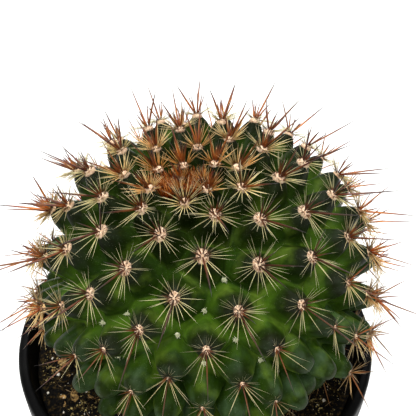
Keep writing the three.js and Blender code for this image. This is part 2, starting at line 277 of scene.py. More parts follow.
polypropylene, add, shader, place = new_material("moulded_black_polypropylene")
dust = add("TexNoise", {"Vector": place, "Scale": 1 / (12 * MM), "Detail": 6.0})
dusty = add("MapRange", {0: dust, 1: 0.5, 2: 0.8})
shade = add("Mix", {0: dusty, 6: linear("#030303"), 7: linear("#0d0d0d")}, data_type="RGBA")
grain = add("TexNoise", {"Vector": place, "Scale": 1 / (0.4 * MM), "Detail": 3.0})
gloss = add("MapRange", {0: dust, 3: 0.36, 4: 0.6})
bump = add("Bump", {"Height": grain, "Strength": 0.25, "Distance": 0.05 * MM})
connect(shader, {"Base Color": shade, "Roughness": gloss, "Normal": bump, "IOR": 1.49,
                 "Specular IOR Level": 0.06})

# %% [markdown]
# ## The pot
#
# The pot is one thin wall, turned over at the top into a rim with a short skirt. A lathe
# outline gives all of that at once. The drain holes repeat round the floor, so Geometry
# Nodes puts one pin on each point of a circle and takes the pins out of the turned shape.

# %% The pot's outline
POT_HEIGHT, RIM_RADIUS, LIP_WIDTH, SKIRT_HEIGHT, SKIRT_WALL = 93, 52.5, 3.1, 8, 1.1
BASE_RADIUS, POT_WALL, FLOOR_THICKNESS, RIM_OVERHANG = 37, 1.1, 1.6, 1.9


def outer_wall(z):
    return BASE_RADIUS + (RIM_RADIUS - RIM_OVERHANG - BASE_RADIUS) * z / POT_HEIGHT


def inner_wall(z):
    return outer_wall(z) - POT_WALL


top, rim, skirt, lip = POT_HEIGHT, RIM_RADIUS, RIM_RADIUS - SKIRT_WALL, RIM_RADIUS - LIP_WIDTH
foot, deck = POT_HEIGHT - SKIRT_HEIGHT, FLOOR_THICKNESS
pot_outline = [
    (0, 0), (BASE_RADIUS - 1.2, 0), (BASE_RADIUS - 0.75, 0.1), (outer_wall(0.6) - 0.25, 0.4),
    *((outer_wall(z), z) for z in (1.2, 40, foot - 2, top - 2.8)),
    (outer_wall(top - 2.4) + 0.2, top - 2.35), (skirt - 0.1, top - 2.35), (skirt, top - 2.6),
    (skirt - 0.2, foot + 0.2), (skirt, foot), (rim - 0.4, foot), (rim - 0.2, foot + 0.2),
    (rim, top - 1.5), (rim - 0.05, top - 1.1), (rim - 0.25, top - 0.55), (rim - 0.65, top - 0.15),
    (rim - 1.2, top), (lip + 0.9, top), (lip + 0.45, top - 0.18), (lip + 0.15, top - 0.6),
    (lip, top - 1.4), *((inner_wall(z), z) for z in (top - 6, 40, deck + 1.4)),
    (inner_wall(deck + 1) - 0.3, deck + 0.4), (inner_wall(deck + 1) - 1, deck), (0, deck),
]
pot_mesh = turned("pot_blank", pot_outline, 180)
print("outline points:", len(pot_outline))

# %% Drain holes
tree, add, sizes = new_tree("drain holes", {
    "Holes": 8, "Hole radius": 3.2 * MM, "Ring radius": 26 * MM, "Pin length": 6 * MM})
ring = add("MeshCircle", {"Vertices": sizes["Holes"], "Radius": sizes["Ring radius"]})
turn = add("Transform", {"Geometry": ring, "Rotation": (0, 0, math.pi / 8)})
pin = add("MeshCylinder", {
    "Vertices": 24, "Radius": sizes["Hole radius"], "Depth": sizes["Pin length"]})
pins = add("InstanceOnPoints", {"Points": turn, "Instance": pin})
pins_made = add("RealizeInstances", {"Geometry": pins})
drilled = add("MeshBoolean", {"Mesh 1": sizes["Geometry"], "Mesh 2": pins_made},
              operation="DIFFERENCE")
end_tree(add, drilled, polypropylene)
pot = grow(pot_mesh, tree, "pot_shell")
pot.data.shade_smooth()
pot.data.set_sharp_from_angle(angle=math.radians(50))
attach(pot, "root")
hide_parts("pot")

# %% [markdown]
# ## The growth rule
#
# A cactus puts out one tubercle after another at its crown, each turned about 137.5
# degrees from the last, and the older ones are pushed outwards and down. So number n alone
# says where a tubercle is: its turn is n times the golden angle, and its distance from the
# crown grows with n. The numbers below are those of the solids.
#
# The ball itself leans a little, is slightly square in profile, sinks in at the crown,
# narrows into the pot and rests just above the soil.

# %% Where tubercle n grows
SPIRAL_FIRST, SPIRAL_LAST = -1, 206
GOLDEN_ANGLE, FIRST_TURN, EVEN_FROM, OLDEST = math.radians(137.55), 5.805, 140, 160
AHEAD, RATE, POWER, BEND, SPAN = 2.047, 0.0393, 0.789, 0.109, 60
TUBERCLE_HEIGHT = 8.0
BODY_CENTRE, BODY_LEAN = np.array([3.5, -0.2, 110.6]), -0.113
BODY_RADIUS, HALF_HEIGHT, SQUARENESS = 47, 47.4, 0.044
DIMPLE_DEPTH, DIMPLE_WIDTH = 8, 0.348
WAIST_TOP, WAIST_DEPTH, WAIST_SHARE, UNDERSIDE_LEVEL = 107, 24, 0.24, 86.7
# These were noted one by one: tubercles that stay low, and areoles without spines.
STUNTED = [130, 143, 149, 151, 157]
BARE = [94, 96, 104, 109, 115, 117, 128, 130, 138, 143, 149, 151, 157, 164]


def ease(low, high, value):
    """A smooth step from 0 at low to 1 at high."""
    t = np.clip((np.asarray(value, dtype=float) - low) / (high - low), 0, 1)
    return t * t * (3 - 2 * t)


def crown_angle(n):
    """How far tubercle n is from the crown's middle: a power of n with a slight bend."""
    m = n + AHEAD
    return RATE * m ** POWER * (1 + BEND * (1 - m / SPAN))


def tubercle_direction(n):
    n = np.asarray(n, dtype=float)
    last_step = crown_angle(EVEN_FROM) - crown_angle(EVEN_FROM - 1)
    polar = crown_angle(np.minimum(n, EVEN_FROM)) + np.maximum(0, n - EVEN_FROM) * last_step
    turn = GOLDEN_ANGLE * n + FIRST_TURN
    return np.stack([np.sin(polar) * np.cos(turn), np.sin(polar) * np.sin(turn), np.cos(polar)], -1)


# %% The ball, and how it sits in the pot
def polar_of(direction):
    return np.arccos(np.clip(direction[..., 2], -1, 1))


def furrow_depth(direction):
    return TUBERCLE_HEIGHT * (0.5 + 0.5 * ease(0, 0.6, polar_of(direction)))


def tip_sunk_by(n):
    return TUBERCLE_HEIGHT * 0.62 * np.where(np.isin(n, STUNTED), 1.0, ease(136, 170, n))


def body_surface(direction, sunk_by):
    """The upright ball's surface in a direction, sunk by some millimetres."""
    polar = polar_of(direction)
    swell = 1 + SQUARENESS * np.sin(2 * polar) ** 2
    wide, high = BODY_RADIUS * swell - sunk_by, HALF_HEIGHT * swell - sunk_by
    place = np.stack([wide, wide, high], -1) * direction
    place[..., 2] -= DIMPLE_DEPTH * np.exp(-(polar / DIMPLE_WIDTH) ** 2)
    return place


def in_pot(place):
    """A place on the ball once it leans, narrows downwards and rests above the soil."""
    c, s = math.cos(BODY_LEAN), math.sin(BODY_LEAN)
    x = BODY_CENTRE[0] + c * place[..., 0] + s * place[..., 2]
    y = BODY_CENTRE[1] + place[..., 1]
    z = BODY_CENTRE[2] - s * place[..., 0] + c * place[..., 2]
    narrow = 1 - WAIST_SHARE * ease(0, 1, (WAIST_TOP - z) / WAIST_DEPTH)
    above = (z - UNDERSIDE_LEVEL) / 2
    z = UNDERSIDE_LEVEL + 2 * np.logaddexp(0, above)
    return np.stack([BODY_CENTRE[0] + (x - BODY_CENTRE[0]) * narrow,
                     BODY_CENTRE[1] + (y - BODY_CENTRE[1]) * narrow, z], -1)


numbers = np.arange(SPIRAL_FIRST, SPIRAL_LAST + 1)
directions = tubercle_direction(numbers)
tips = in_pot(body_surface(directions, tip_sunk_by(numbers)))
feet = in_pot(body_surface(directions, furrow_depth(directions)))
ages = np.clip(numbers / OLDEST, 0, 1)
print("tubercles:", len(numbers), "highest tip at", round(tips[:, 2].max(), 1), "mm")

# %% [markdown]
# ## The net of furrows
#
# Each tubercle owns the part of the skin that is nearer to it than to any other: a cell.
# The hull round all directions joins every tubercle to its neighbours, and the corner of
# three cells lies above the middle of each of its triangles. The skin's mesh follows the
# cells, ring by ring from a tubercle's tip to its furrow, so the furrows come out crisp. A
# plain fine ball would cut across them and look frayed.

# %% Corners of the cells
underside = [
    (math.sin(p) * math.cos(math.tau * k / count), math.sin(p) * math.sin(math.tau * k / count),
     math.cos(p)) for p, count in ((2.22, 15), (2.5, 9), (math.pi, 1)) for k in range(count)]
seeds = np.vstack([directions, np.array(underside)])
hull = bmesh.new()
for seed in seeds:
    hull.verts.new(seed)
hull.verts.ensure_lookup_table()
bmesh.ops.convex_hull(hull, input=hull.verts[:])
hull.verts.index_update()
hull.faces.index_update()
hull.faces.ensure_lookup_table()
outwards = [1 if f.normal.dot(f.calc_center_median()) > 0 else -1 for f in hull.faces]
corners = np.array([f.normal * sign for f, sign in zip(hull.faces, outwards)])
corners /= np.linalg.norm(corners, axis=1, keepdims=True)
corner_cells = [tuple(sorted(v.index for v in f.verts)) for f in hull.faces]
cells = [[f.index for f in v.link_faces] for v in hull.verts]
hull.free()
print("cells:", len(cells), "corners:", len(corners))

# %% The skin's net
RINGS = np.array([0.13, 0.27, 0.4, 0.53, 0.65, 0.75, 0.83, 0.9, 0.955, 1.0])
STEPS = 5


def unit(v):
    return v / np.linalg.norm(v, axis=-1, keepdims=True)


net_places, net_faces, net_cell = [], [], []
for cell, (seed, loop) in enumerate(zip(seeds, cells)):
    east = unit(np.cross((0, 0, 1) if abs(seed[2]) < 0.999 else (1, 0, 0), seed))
    north = np.cross(seed, east)
    loop = sorted(loop, key=lambda c: math.atan2(corners[c] @ north, corners[c] @ east))
    border = []
    for here, there in zip(loop, loop[1:] + loop[:1]):
        way = corners[there] - corners[here]
        border += [corners[here] + way * k / STEPS for k in range(STEPS)]
    border = np.array(border)
    start, round_it = len(net_places), len(border)
    net_places.append(seed)
    for t in RINGS:
        net_places.extend(unit(seed + (border - seed) * t))
    net_cell += [cell] * (1 + round_it * len(RINGS))
    for k in range(round_it):
        after = (k + 1) % round_it
        net_faces.append((start, start + 1 + k, start + 1 + after))
        for r in range(len(RINGS) - 1):
            low, high = start + 1 + r * round_it, start + 1 + (r + 1) * round_it
            net_faces.append((low + k, high + k, high + after, low + after))
net_places, net_cell = np.array(net_places), np.array(net_cell)
print("net points:", len(net_places), "faces:", len(net_faces))

# %% [markdown]
# ## How far a point is from its tubercle's tip
#
# Two measures run from 0 at the tip to 1 at the furrow. The first follows the cell's
# straight sides exactly, and it closes the furrow. The second rounds the cell's corners, as
# the living skin does, and it shapes the dome. Old tubercles are blunt and boxy and young
# ones pointed, so the dome's power grows with age.

# %% Measures on the net
towards = net_places @ seeds.T
own = towards[np.arange(len(net_places)), net_cell]
apart = 1 - (seeds @ seeds.T)[net_cell]
np.put_along_axis(apart, net_cell[:, None], 1.0, axis=1)
reach = 1 - (own[:, None] - towards) / apart
np.put_along_axis(reach, net_cell[:, None], 0.0, axis=1)
straight = np.clip(reach.max(axis=1), 0, 1)
rounded = np.clip((np.clip(reach, 0, None) ** 6).sum(axis=1) ** (1 / 6), 0, 1)

real = net_cell < len(numbers)
net_number = np.where(real, numbers[np.minimum(net_cell, len(numbers) - 1)], SPIRAL_LAST)
rise_of = np.vstack([(tips - feet) / TUBERCLE_HEIGHT, np.zeros((len(underside), 3))])
bluntness = 2.1 + 1.2 * ease(55, 130, net_number)
tint_of = np.random.default_rng(5).random(len(seeds))
skin_net = mesh_from(
    "skin_net", in_pot(body_surface(net_places, furrow_depth(net_places))), net_faces,
    rise=rise_of[net_cell], straight=straight, rounded=rounded, bluntness=bluntness,
    age=np.clip(net_number / OLDEST, 0, 1), tint=tint_of[net_cell])
print("mean rise in mm:", round(float(np.linalg.norm(tips - feet, axis=1).mean()), 2))

# %% [markdown]
# ## The skin's colour
#
# The epidermis is a living green tissue under a thin wax. Each tip wears a dark grey-green
# cap where the sun has tanned it, and towards the furrow the skin turns a brighter
# yellow-green. Old tubercles low down have lost the cap and carry a faint blue-grey bloom.
# The colour therefore runs over the same measures as the form: an attribute of the mesh,
# which follows the skin wherever it goes. The wax gives a soft shine, not a mirror.

# %% Waxy living skin
skin, add, shader, place = new_material("waxy_cactus_skin")
toward_furrow, to_side, age, tint = (add("Attribute", attribute_name=name).outputs["Fac"]
                                     for name in ("rounded", "straight", "age", "tint"))
ragged, patches, clouds, mottle = (
    add("TexNoise", {"Vector": place, "Scale": 1 / (width * MM), "Detail": detail})
    for width, detail in ((4, 5.0), (6, 3.0), (4.5, 4.0), (1.6, 4.0)))
wander = add("Math", (ragged, 0.3, -0.15), operation="MULTIPLY_ADD")
reach_now = add("Math", (toward_furrow, wander), operation="ADD")


def with_stops(ramp, stops):
    """Gives a colour ramp its stops. A new ramp has two, at its ends, so those come first."""
    for k, (at, colour) in enumerate(stops):
        stop = ramp.color_ramp.elements[k] if k < 2 else ramp.color_ramp.elements.new(at)
        stop.position = at
        stop.color = linear(colour)
    return ramp


# The ages over which a stage takes over, and its colours from a tubercle's tip to the furrow.
stages = [
    (None, [(0.1, "#1a1d12"), (0.95, "#162102"), (0.5, "#131906"), (0.75, "#0e1602")]),
    ((0.1, 0.22), [(0.15, "#1b1e15"), (1.0, "#1c3004"), (0.55, "#111706"), (0.72, "#172504"),
                   (0.87, "#213607")]),
    ((0.27, 0.37), [(0.15, "#1c1f17"), (1.0, "#344d0e"), (0.55, "#151b08"), (0.7, "#1e2e08"),
                    (0.86, "#3d5a12")]),
    ((0.46, 0.6), [(0.1, "#1f280e"), (1.0, "#182a04"), (0.5, "#162205"), (0.8, "#203407"),
                   (0.92, "#1f3405")]),
]
grown_colour = None
for span, stops in stages:
    ramp = with_stops(add("ValToRGB", {"Fac": reach_now}), stops)
    if grown_colour:
        come = add("MapRange", {0: age, 1: span[0], 2: span[1]})
        ramp = add("Mix", {0: come, 6: grown_colour, 7: ramp}, data_type="RGBA")
    grown_colour = ramp
most = add("MapRange", {0: age, 1: 0.1, 2: 0.28, 3: 0.15, 4: 0.65})
patchy = add("MapRange", {0: patches, 1: 0.5, 2: 0.68, 4: most})
outer = add("MapRange", {0: reach_now, 1: 0.5, 2: 0.75})
pale = add("Math", (patchy, outer), operation="MULTIPLY")
yellowed = add("Mix", {0: pale, 6: grown_colour, 7: linear("#586f22")}, data_type="RGBA")
bloom = add("MapRange", {0: clouds, 1: 0.46, 2: 0.68, 4: 0.7})
aging = add("MapRange", {0: age, 1: 0.4, 2: 0.75, 3: 0.12, 4: 1.0})
bloom = add("Math", (bloom, aging), operation="MULTIPLY")
second = add("Mix", {0: bloom, 6: yellowed, 7: linear("#3c5036")}, data_type="RGBA")
value = add("MapRange", {0: mottle, 1: 0.25, 2: 0.75, 3: 0.82, 4: 1.2})
valued = add("Math", (tint, 0.25, -0.12), operation="MULTIPLY_ADD")
both = add("Math", (value, valued), operation="ADD")
mottled = add("HueSaturation", {"Color": second, "Value": both})
specks = add("TexVoronoi", {"Vector": place, "Scale": 1 / (0.55 * MM)})
speck = add("MapRange", {0: specks, 1: 0.1, 2: 0.28, 3: 0.07, 4: 0.0})
dotted = add("Mix", {0: speck, 6: mottled, 7: linear("#93a684")}, data_type="RGBA")
waxy = add("MapRange", {0: mottle, 3: 0.34, 4: 0.52})
crease = add("MapRange", {0: to_side, 1: 0.75, 2: 0.97})
gloss = add("Math", (waxy, crease), operation="MAXIMUM")
bump = add("Bump", {"Height": mottle, "Strength": 0.35, "Distance": 0.12 * MM})
fine = add("Bump", {"Height": specks, "Normal": bump, "Strength": 0.25, "Distance": 0.04 * MM})
connect(shader, {
    "Base Color": dotted, "Roughness": gloss, "Normal": fine, "IOR": 1.35,
    "Specular IOR Level": 0.07, "Subsurface Weight": 0.06, "Subsurface Radius": (0.6, 1.0, 0.25),
    "Subsurface Scale": 1.5 * MM})

# %% [markdown]
# ## The skin
#
# The body is the main piece, and its shape follows a rule, so Geometry Nodes raise it: each
# point moves along its tubercle's own rise by one minus the rounded measure to the power of
# the bluntness, and a steep second factor closes the furrow. A little noise along the
# normal takes away the look of a drawn curve. The neck is a plain stub down into the soil.

# %% Noise that moves points
def waves(add, scale, depth, detail=2.0):
    """Noise that runs from half a depth below to half a depth above."""
    noise = add("TexNoise", {"Scale": scale, "Detail": detail})
    centred = add("Math", (noise, 0.5), operation="SUBTRACT")
    return add("Math", (centred, depth), operation="MULTIPLY")


def moved_out(add, geometry, height):
    """Each point moved along its normal by a height."""
    normal = add("InputNormal")
    shift = add("VectorMath", {0: normal, "Scale": height}, operation="SCALE")
    return add("SetPosition", {"Geometry": geometry, "Offset": shift})


# %% Raise the tubercles
tree, add, sizes = new_tree("raise tubercles", {
    "Tubercle height": TUBERCLE_HEIGHT * MM, "Furrow sharpness": 6.0, "Unevenness": 0.35 * MM,
    "Neck radius": 25 * MM, "Neck depth": 17 * MM, "Neck middle": 80.5 * MM})
rise = add("InputNamedAttribute", {"Name": "rise"}, data_type="FLOAT_VECTOR")
rounded_way, straight_way, blunt = (add("InputNamedAttribute", {"Name": name})
                                    for name in ("rounded", "straight", "bluntness"))
dome, side = (
    add("Math", (1.0, add("Math", (way, power), operation="POWER")), operation="SUBTRACT")
    for way, power in ((rounded_way, blunt), (straight_way, sizes["Furrow sharpness"])))
form = add("Math", (dome, side), operation="MULTIPLY")
high = add("Math", (form, sizes["Tubercle height"]), operation="MULTIPLY")
lift = add("VectorMath", {0: rise, "Scale": high}, operation="SCALE")
raised = add("SetPosition", {"Geometry": sizes["Geometry"], "Offset": lift})
closed = add("MergeByDistance", {"Geometry": raised, "Distance": 0.004 * MM})
uneven = moved_out(add, closed, waves(add, 1 / (5 * MM), sizes["Unevenness"], 3.0))
neck = add("MeshCylinder", {
    "Vertices": 64, "Radius": sizes["Neck radius"], "Depth": sizes["Neck depth"]})
down = add("CombineXYZ", {"Z": sizes["Neck middle"]})
planted = add("Transform", {"Geometry": neck, "Translation": down})
whole = add("JoinGeometry", {0: uneven})
connect(whole, {0: planted})
end_tree(add, whole, skin)
body = grow(skin_net, tree, "cactus_body")
body.data.shade_smooth()
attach(body, "root")
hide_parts("plant")

# %% [markdown]
# ## Areoles
#
# An areole is a small cushion of felted wool on a tubercle's tip. It needs a direction to
# stand in and a direction that points down the plant, because the lowest central spine is
# the longest. Both are worked out once here.
#
# A few measures between 0 and 1 say how an areole has aged: young at the crown, dry low
# down on the front, worn near the soil and reddened behind the crown. One more marks the
# areoles on the left and right outline, whose spines and wool get a painted golden glow that
# stands in for the back lamp shining through them. A young areole in front of the crown has
# opened its spines further than one
# behind it, so it counts as less fresh. Some of the oldest have lost all their spines.

# %% A frame on each tip
south = unit(np.cross(unit(np.cross((0, 0, 1), directions)), directions))
below = in_pot(body_surface(unit(directions + 0.2 * south), np.zeros(len(numbers))))
axes = unit(tips - feet)
downs = below - tips
downs = unit(downs - (downs * axes).sum(1, keepdims=True) * axes)
sides = np.cross(axes, downs)
youth = 1 - ease(6, 28, numbers)
worn = ease(85, 125, numbers)
front = ease(4, 16, BODY_CENTRE[1] - tips[:, 1])
fresh = youth * (1 - 0.6 * front)
# Flank marks the areoles on the left and right outline. It adds spines there, and its share of the
# spines' and wool's warm colour is painted backlight glow.
flank = ease(29, 40, np.abs(tips[:, 0] - BODY_CENTRE[0])) * ease(14, 30, numbers)
behind = ease(4, 20, tips[:, 1] - BODY_CENTRE[1])
dry = ease(56, 76, numbers) * (1 - flank)
bare = np.isin(numbers, BARE) | ((numbers >= 150) & (numbers % 2 == 0))
spiny = np.flatnonzero(~bare)
print("areoles with spines:", len(spiny), "without:", int(bare.sum()))

# %% [markdown]
# ## Wool
#
# The wool is short, crimped plant hair: off-white with a warm, pinkish cast from the spines'
# brown feet and grey-brown once it is old. On the left and right outline it gets a painted
# golden backlight glow. It scatters light like
# felt, which is a rough surface with a little sheen. The crimp is far too fine to show, so
# the bump is drawn at 0.3 mm.

# %% Felted plant wool
def felt(name, dark, light):
    material, add, shader, place = new_material(name)
    age, gold = (add("Attribute", attribute_name=name).outputs["Fac"] for name in ("age", "gold"))
    clots = add("TexNoise", {"Vector": place, "Scale": 1 / (0.5 * MM), "Detail": 6.0})
    tone = add("MapRange", {0: clots, 1: 0.35, 2: 0.65})
    fresh, golden, dry = (
        add("Mix", {0: tone, 6: linear(low), 7: linear(high)}, data_type="RGBA")
        for low, high in ((dark, light), ("#b8783a", "#f4d49a"), ("#5f4b38", "#8f7a5c")))
    # The golden mix is real golden wool on two old cushions and painted backlight glow on the
    # outline flanks.
    fresh = add("Mix", {0: gold, 6: fresh, 7: golden}, data_type="RGBA")
    aged = add("MapRange", {0: age, 1: 0.6, 2: 0.95})
    colour = add("Mix", {0: aged, 6: fresh, 7: dry}, data_type="RGBA")
    crimp = add("TexNoise", {"Vector": place, "Scale": 1 / (0.3 * MM), "Detail": 4.0})
    finish(add, shader, colour, crimp, (0.8, 0.98), (0.8, 0.15), {"Sheen Weight": 0.25})
    return material


wool = felt("felted_plant_wool", "#b88c68", "#efd4b4")
axil_wool = felt("greenish_axil_wool", "#bcc294", "#ebe9c6")

# %% [markdown]
# ## The woolly cushions
#
# A cushion is a low oval dome, longer down the plant. One dome of forty faces is set on
# every areole, turned to the areole's own two directions, and then all of them are pushed
# about by one noise, so that no two are alike. Old cushions are small, except for two at the
# plant's edges that have kept a thick tuft of golden wool.

# %% Cushions
GOLDEN = [75, 144]
newest = np.isin(numbers, (-1, 0, 2)).astype(float)
pad_radius = (1.55 - 0.2 * youth - 0.6 * newest) * (1 - 0.26 * ease(30, 60, numbers))
pad_radius *= 1 - 0.36 * dry
pad_size = pad_radius[:, None] * np.array([1.22, 1.0, 0.6])
pad_size[np.isin(numbers, GOLDEN)] = (1.4, 1.25, 1.1)
pad_size[bare] *= 0.45
# The golden share is 1 on the two cushions with real golden wool, and 0.4 of the flank measure
# elsewhere: painted backlight glow on the outline.
pads = mesh_from("pads", tips - 0.35 * axes, axis=axes, down=downs, size=pad_size * MM,
                 age=ages, gold=np.maximum(np.isin(numbers, GOLDEN), 0.4 * flank))


def cushion_tree(name, material):
    tree, add, sizes = new_tree(name, {"Lump size": 0.9 * MM, "Lump depth": 0.45 * MM})
    axis, down, size = (add("InputNamedAttribute", {"Name": name}, data_type="FLOAT_VECTOR")
                        for name in ("axis", "down", "size"))
    stand = add("AxesToRotation", (axis, down), primary_axis="Z", secondary_axis="X")
    dome = add("MeshUVSphere", {"Segments": 8, "Rings": 5, "Radius": 1.0})
    domes = add("InstanceOnPoints", {
        "Points": sizes["Geometry"], "Instance": dome, "Rotation": stand, "Scale": size})
    made = add("RealizeInstances", {"Geometry": domes})
    fineness = add("Math", (1.0, sizes["Lump size"]), operation="DIVIDE")
    end_tree(add, moved_out(add, made, waves(add, fineness, sizes["Lump depth"])), material)
    return tree


cushions = grow(pads, cushion_tree("woolly cushions", wool), "areole_cushions")
cushions.data.shade_smooth()
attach(cushions, "root")
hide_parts("plant")

# %% [markdown]
# ## Where the spines stand
#
# About 26 straight radials stand round each cushion, nearly flat on the plant, with the
# lower ones longer. On the flanks there are about 40 and behind the crown about 55, and
# they are thicker. Low down on the front there are fewer, and those that point down gather
# in two sheaves. Five to seven dark centrals rise from the middle of the cushion, and up to
# ten near the crown. The lowest of them is the longest. Spines younger than that still lean
# together like a brush.
#
# A spine that would run into the pot or the soil is turned and shortened until it is free,
# as it would have grown.

# %% One areole's spines
chance = np.random.default_rng(1303)
CLEAR, ABOVE_SOIL, TRIES, SWING, SHRINK = 0.5, 87.2, 14, 0.05, 0.94
box_low, box_high = np.array(cad_low) / MM + CLEAR, np.array(cad_high) / MM - CLEAR


def free_of_pot(root, tip):
    """Whether a spine stays in the solids' box and clear of the soil and the pot's wall."""
    if (tip < box_low).any() or (tip > box_high).any():
        return False
    places = root + (tip - root) * np.linspace(0.1, 1, 12)[:, None]
    radius, height = np.hypot(places[:, 0], places[:, 1]), places[:, 2]
    in_wall = (radius > inner_wall(height) - CLEAR) & (radius < RIM_RADIUS + CLEAR)
    return not ((height < ABOVE_SOIL) | in_wall & (height < POT_HEIGHT + CLEAR)).any()


crown_low, crown_top, crown_high = (in_pot(np.array([0.0, 0.0, z])) for z in (30.0, 52.0, 60.0))
crown_axis = unit(crown_high - crown_low)


def spine(k, around, lift, length, start, girth, tone, warmth):
    """Root, aim, length, girth, tone, age and warmth of one spine, or None if it has no room.

    Around is its turn about the areole, from the way down; lift is its angle above the skin."""
    for attempt in range(TRIES):
        swing = SWING * attempt
        flat = math.cos(around) * downs[k] + math.sin(around) * sides[k]
        dome = pad_size[k, 2] * math.sqrt(1 - (start / pad_size[k, 1]) ** 2)
        root = tips[k] + start * flat + axes[k] * (dome - 0.45)
        aim = math.cos(lift) * flat + math.sin(lift) * axes[k]
        aim = aim + newest[k] * (0.45 * crown_axis + 0.5 * unit(crown_top - tips[k]))
        aim = unit(aim + swing * (axes[k] + (chance.random(3) - 0.5)) + np.array([0, 0, swing]))
        if free_of_pot(root, root + aim * length):
            return (*root, *aim, length, girth, tone, ages[k], warmth)
        length *= SHRINK
    return None


# %% Radials and centrals of every areole
# Here y is how fresh and w how worn an areole is. All lengths and girths are in millimetres.
radials, centrals = [], []
for k in spiny:
    y, w, pad = fresh[k], worn[k], pad_size[k, 1]
    lopsided = ease(40, 80, numbers[k])
    side, aged = flank[k], dry[k]
    inner = (1 - ease(4, 10, numbers[k])) * (1 - 0.6 * front[k])
    count = (26 + 30 * y - 20 * inner - 2 * lopsided - 7 * aged + 16 * side) * (1 - 0.55 * w)
    count = int(round(count + 1.5 * chance.standard_normal()))
    offset, own_tone = chance.random(2) * (math.tau, 0.3)
    for j in range(count):
        around = offset + math.tau * (j + 0.9 * (chance.random() - 0.5)) / count
        around = math.remainder(around, math.tau)
        lower = math.cos(around)
        bundled = max(y, w * (1 - side)) if lower > 0.5 and chance.random() < 0.7 else 0.0
        around = around * (1 - 0.65 * bundled) - 0.12 * math.sin(5 * around + offset)
        sheaf = aged if lower > 0.2 else 0.0
        around += 0.4 * sheaf * (math.copysign(0.6, around) - around)
        short = aged if lower <= 0.2 else 0.0
        lift = 18 + 16 * youth[k] + 8 * y + 14 * bundled
        lift = math.radians(lift + (30 + 16 * y + 20 * side) * (chance.random() - 0.5))
        length = (6.0 - 2.0 * newest[k]) * (1 + (0.16 + 0.14 * lopsided) * lower * (1 - side))
        length *= (0.7 + 0.5 * chance.random()) * (1 - 0.3 * short) * (1 - 0.2 * inner)
        girth = 1 + 0.15 * lower - 0.12 * lopsided - 0.2 * max(short, sheaf)
        girth *= 0.105 + 0.06 * chance.random()
        girth *= (1 + 0.6 * y + 1.1 * side) * (1 - 0.25 * newest[k])
        tone = 0.15 + own_tone + 0.4 * youth[k] - 0.1 * lopsided + (0.25 + 0.25 * lopsided) * lower
        tone += 0.6 * (chance.random() - 0.5)
        tone = min(max(tone - 0.3 * short - 0.3 * inner, 0), 1)
        # The flank term of the warmth is painted backlight glow on the outline; the other terms are
        # the spines' own colour.
        warmth = max(0.9 * y * bundled, newest[k], y * (0.25 + 0.5 * chance.random()), 0.5 * w,
                     0.95 * inner, 0.1 * sheaf, side * (0.3 + 0.5 * chance.random()))
        start = (0.5 + 0.25 * y + 0.2 * chance.random()) * pad
        made = spine(k, around, lift, length, start, girth, tone, warmth)
        radials += [made] if made else []
    count = (chance.integers(5, 8) + 2.5 * y) * (1 - 0.6 * w) * (1 - 0.3 * aged)
    count = max(1, int(round(count)))
    second = int(chance.integers(1, 9))
    for j in range(count):
        around = math.tau * (j + 0.35 * (chance.random() - 0.5)) / count
        around = math.remainder(around, math.tau) * (1 - 0.45 * y)
        longest = j in (0, second)
        lift = (56 - 14 * w if longest else 69) * (1 - youth[k]) + (58 if j == 0 else 72) * youth[k]
        lift = math.radians(lift + 14 * (chance.random() - 0.5))
        length = 14.5 - 3 * y - 4 * w if j == 0 else 10.5 - 2 * y if longest else 5.8
        length *= 1 - 0.15 * aged
        length *= (0.8 + 0.36 * chance.random()) * (1 - 0.4 * newest[k])
        girth = 0.27 + 0.08 * chance.random() + (0.08 if longest else 0)
        girth *= 1 - 0.4 * ease(35, 75, numbers[k])
        girth *= 1 + 0.4 * max(side, 0.3 * behind[k])
        # The flank term of the warmth is painted backlight glow on the outline; the other terms are
        # the spines' own colour.
        warmth = max(0.95 * y if longest else 0.5 * y, newest[k], 0.6 * w, 0.3 * lopsided,
                     0.85 * side, 0.6 * behind[k])
        made = spine(k, around, lift, length, 0.28 * pad, girth, chance.random(), warmth)
        centrals += [made] if made else []
print("radial spines:", len(radials), "central spines:", len(centrals))

# %% [markdown]
# ## One needle for all spines
#
# A spine is a hardened, tapering needle with a thick foot, bent a little along its length.
# A cone of four rings and five sides shows all of that for the thin radials, and one of six
# rings and six sides for the centrals. It is one unit long and one unit thick, and each
# spine scales it to its own length and girth. The way from foot to point is kept as an
# attribute, because spines change colour along their length.

